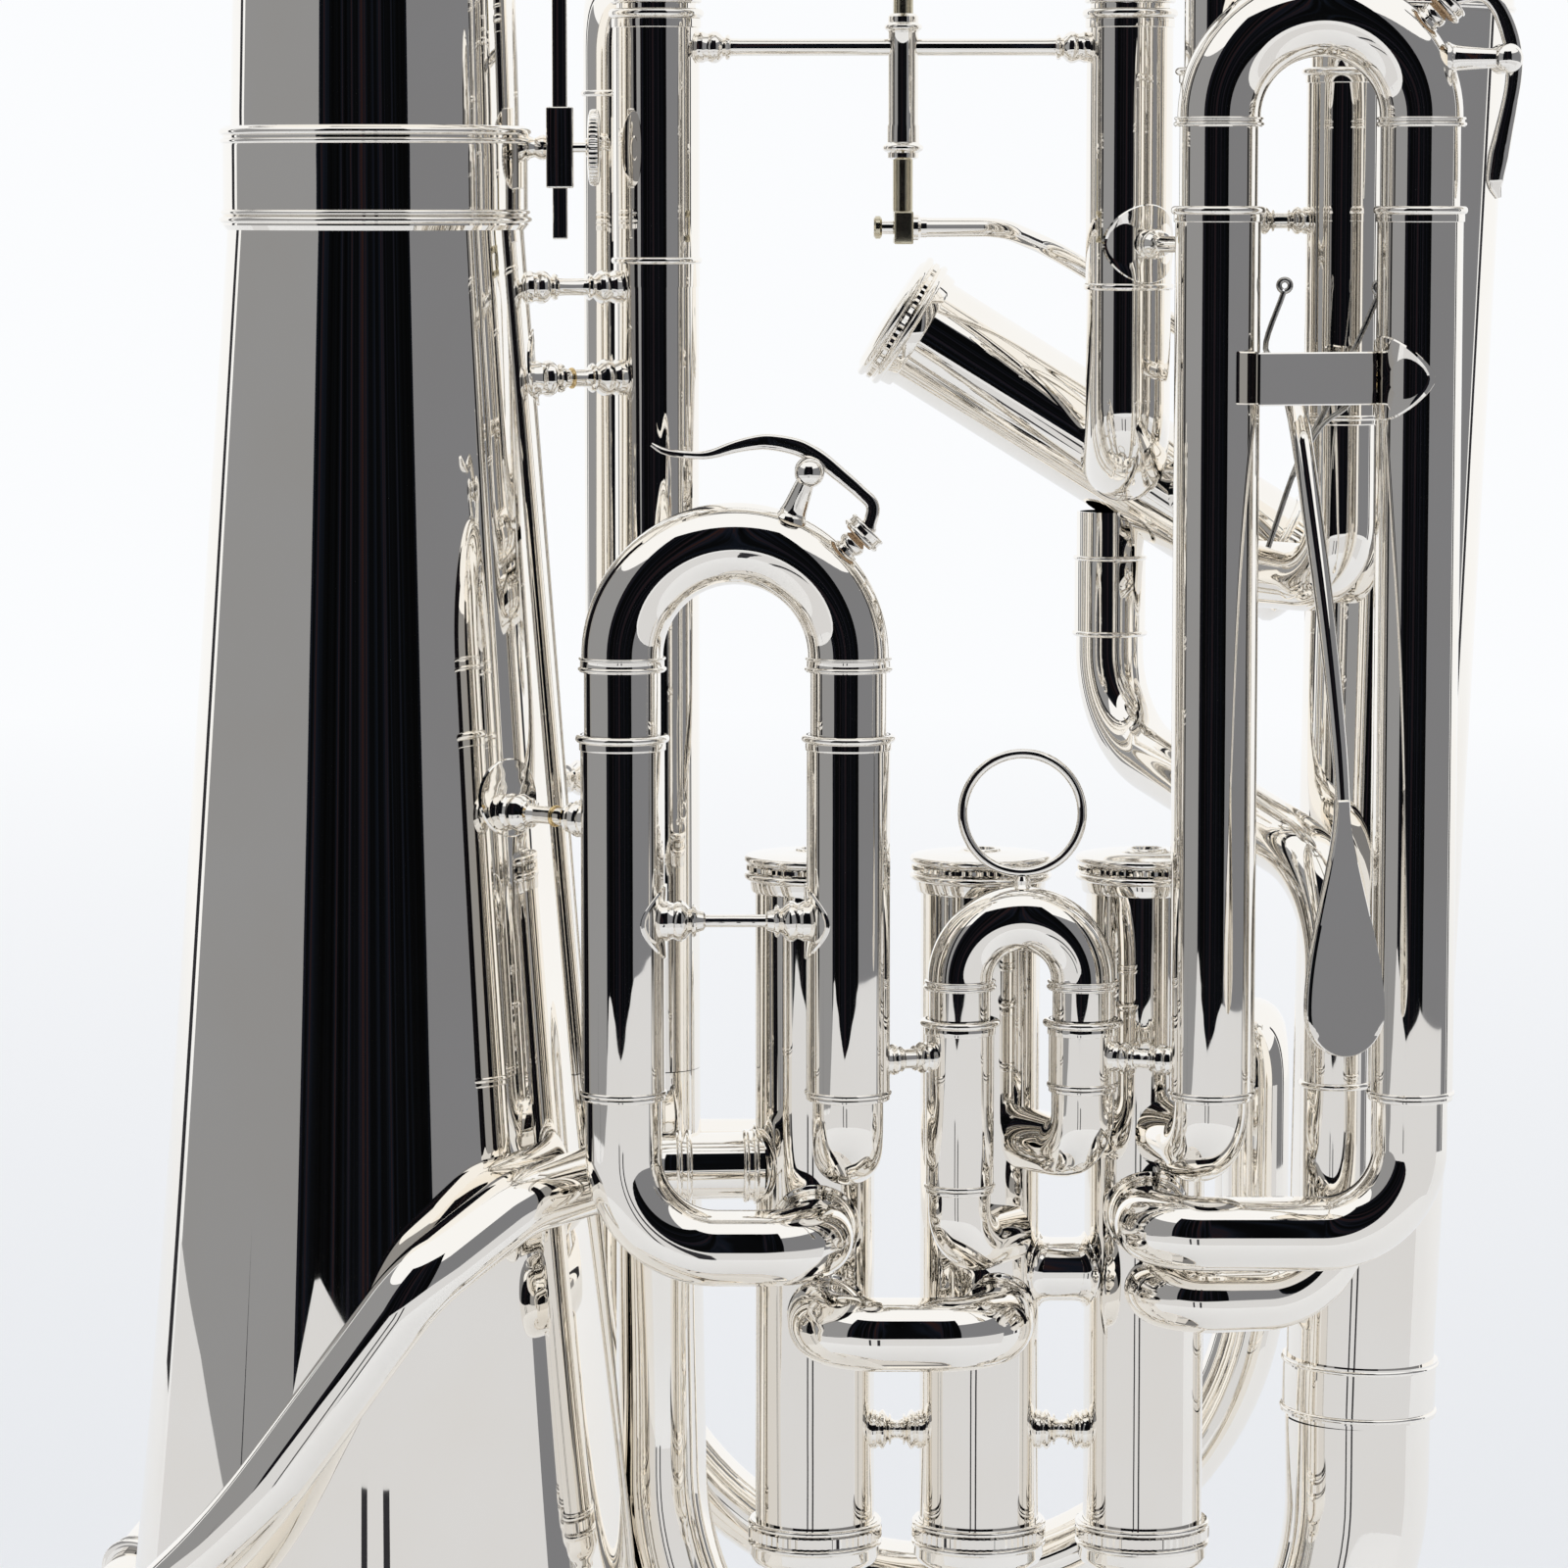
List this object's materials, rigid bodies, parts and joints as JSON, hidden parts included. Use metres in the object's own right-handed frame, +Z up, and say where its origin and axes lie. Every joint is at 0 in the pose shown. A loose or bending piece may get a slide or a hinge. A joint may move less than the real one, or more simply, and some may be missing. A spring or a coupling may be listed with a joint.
{
  "type": "euphonium",
  "caption": "Silver-plated compensating euphonium standing on its bell: piston valves, pull slides, water keys and a thumb trigger on the main tuning slide.",
  "frame": {"origin": "centre of the bell's rim, on the surface the bell stands on", "axes": "+Z up along the bell's axis, +X from the bell to the outer branch, -Y towards the side with the valves"},
  "size_m": [0.3881, 0.3, 0.663],
  "materials": {
    "silver_plate": "mirror-polished silver plate",
    "valve_metal": "lapped satin",
    "brass": "polished",
    "spring_steel": "bright drawn wire",
    "cork": "cut cork"
  },
  "bodies": {
    "root": {"bell": "silver_plate", "ferrules": "silver_plate", "bottom_bow": "silver_plate", "outer_branch": "silver_plate", "top_bow": "silver_plate", "inner_branch": "silver_plate", "leadpipe": "silver_plate", "mouthpiece_receiver": "silver_plate", "valve_casing_1": "silver_plate", "valve_casing_2": "silver_plate", "valve_casing_3": "silver_plate", "valve_casing_4": "silver_plate", "bottom_valve_caps": "silver_plate", "top_valve_caps": "silver_plate", "valve_spring_1": "spring_steel", "valve_spring_2": "spring_steel", "valve_spring_3": "spring_steel", "valve_spring_4": "spring_steel", "first_slide_sleeves": "silver_plate", "second_slide_sleeves": "silver_plate", "third_slide_sleeves": "silver_plate", "fourth_slide_sleeves": "silver_plate", "main_slide_sleeves": "silver_plate", "tube_braces": "silver_plate", "crossbar": "silver_plate", "trigger_bracket": "silver_plate", "trigger_hinge_rod": "brass", "trigger_springs": "spring_steel", "cross_bow_1_2": "silver_plate", "knuckle_2_3": "silver_plate", "valve_3_to_4_tube": "silver_plate", "compensating_loop": "silver_plate", "bell_braces": "silver_plate", "clip_socket": "silver_plate", "clip_bar": "silver_plate", "clip_screw": "silver_plate"},
    "valve_1": {"piston_1": "valve_metal", "finger_button_1": "silver_plate"},
    "valve_2": {"piston_2": "valve_metal", "finger_button_2": "silver_plate"},
    "valve_3": {"piston_3": "valve_metal", "finger_button_3": "silver_plate"},
    "valve_4": {"piston_4": "valve_metal", "finger_button_4": "silver_plate"},
    "slide_1": {"first_slide_bow": "silver_plate", "water_key_1_seat": "silver_plate", "water_key_1_spring": "spring_steel"},
    "slide_2": {"second_slide_bow": "silver_plate", "pull_ring": "silver_plate"},
    "slide_3": {"third_slide_bow": "silver_plate", "water_key_3_seat": "silver_plate", "water_key_3_spring": "spring_steel"},
    "slide_4": {"fourth_slide_bow": "silver_plate"},
    "main_slide": {"main_slide_bow": "silver_plate", "push_rod": "brass"},
    "trigger": {"trigger_lever": "silver_plate"},
    "key_1": {"water_key_1": "silver_plate", "water_key_1_pad": "cork"},
    "key_3": {"water_key_3": "silver_plate", "water_key_3_pad": "cork"}
  },
  "joints": [
    {"name": "valve_1_press", "type": "slide", "parent": "root", "child": "valve_1", "axis": [0, 0, 1], "range_m": [0, 0.017], "stiffness_N_per_m": 160, "springref_m": -0.02, "deforming": ["valve_spring_1"]},
    {"name": "valve_2_press", "type": "slide", "parent": "root", "child": "valve_2", "axis": [0, 0, 1], "range_m": [0, 0.017], "stiffness_N_per_m": 160, "springref_m": -0.02, "deforming": ["valve_spring_2"]},
    {"name": "valve_3_press", "type": "slide", "parent": "root", "child": "valve_3", "axis": [0, 0, 1], "range_m": [0, 0.017], "stiffness_N_per_m": 160, "springref_m": -0.02, "deforming": ["valve_spring_3"]},
    {"name": "valve_4_press", "type": "slide", "parent": "root", "child": "valve_4", "axis": [-0.848, 0, 0.53], "range_m": [0, 0.017], "stiffness_N_per_m": 160, "springref_m": -0.02, "deforming": ["valve_spring_4"]},
    {"name": "slide_1_pull", "type": "slide", "parent": "root", "child": "slide_1", "axis": [0, 0, 1], "range_m": [-0.012, 0.045]},
    {"name": "slide_2_pull", "type": "slide", "parent": "root", "child": "slide_2", "axis": [0, 0, 1], "range_m": [-0.003, 0.007]},
    {"name": "slide_3_pull", "type": "slide", "parent": "root", "child": "slide_3", "axis": [0, 0, 1], "range_m": [-0.015, 0.12]},
    {"name": "slide_4_pull", "type": "slide", "parent": "root", "child": "slide_4", "axis": [0, 0, 1], "range_m": [-0.018, 0.035]},
    {"name": "main_slide_pull", "type": "slide", "parent": "root", "child": "main_slide", "axis": [0, 0, 1], "range_m": [0, 0.0102], "stiffness_N_per_m": 250, "springref_m": -0.02},
    {"name": "trigger_swing", "type": "hinge", "parent": "root", "child": "trigger", "pos_m": [0.186, -0.042, 0.438], "axis": [1, 0, 0], "range_deg": [0, 12], "deforming": ["trigger_springs"]},
    {"name": "key_1_swing", "type": "hinge", "parent": "slide_1", "child": "key_1", "pos_m": [0.0901, -0.048, 0.4199], "axis": [0, 1, 0], "range_deg": [-15, 0], "stiffness_Nm_per_rad": 0.02, "springref_deg": 34.38, "deforming": ["water_key_1_spring"]},
    {"name": "key_3_swing", "type": "hinge", "parent": "slide_3", "child": "key_3", "pos_m": [0.2287, -0.048, 0.5022], "axis": [0, 1, 0], "range_deg": [0, 12], "stiffness_Nm_per_rad": 0.02, "springref_deg": -34.38, "deforming": ["water_key_3_spring"]}
  ],
  "couplings": [
    {"joint": "trigger_swing", "follows": "main_slide_pull", "rad_per_m": 20.5}
  ]
}
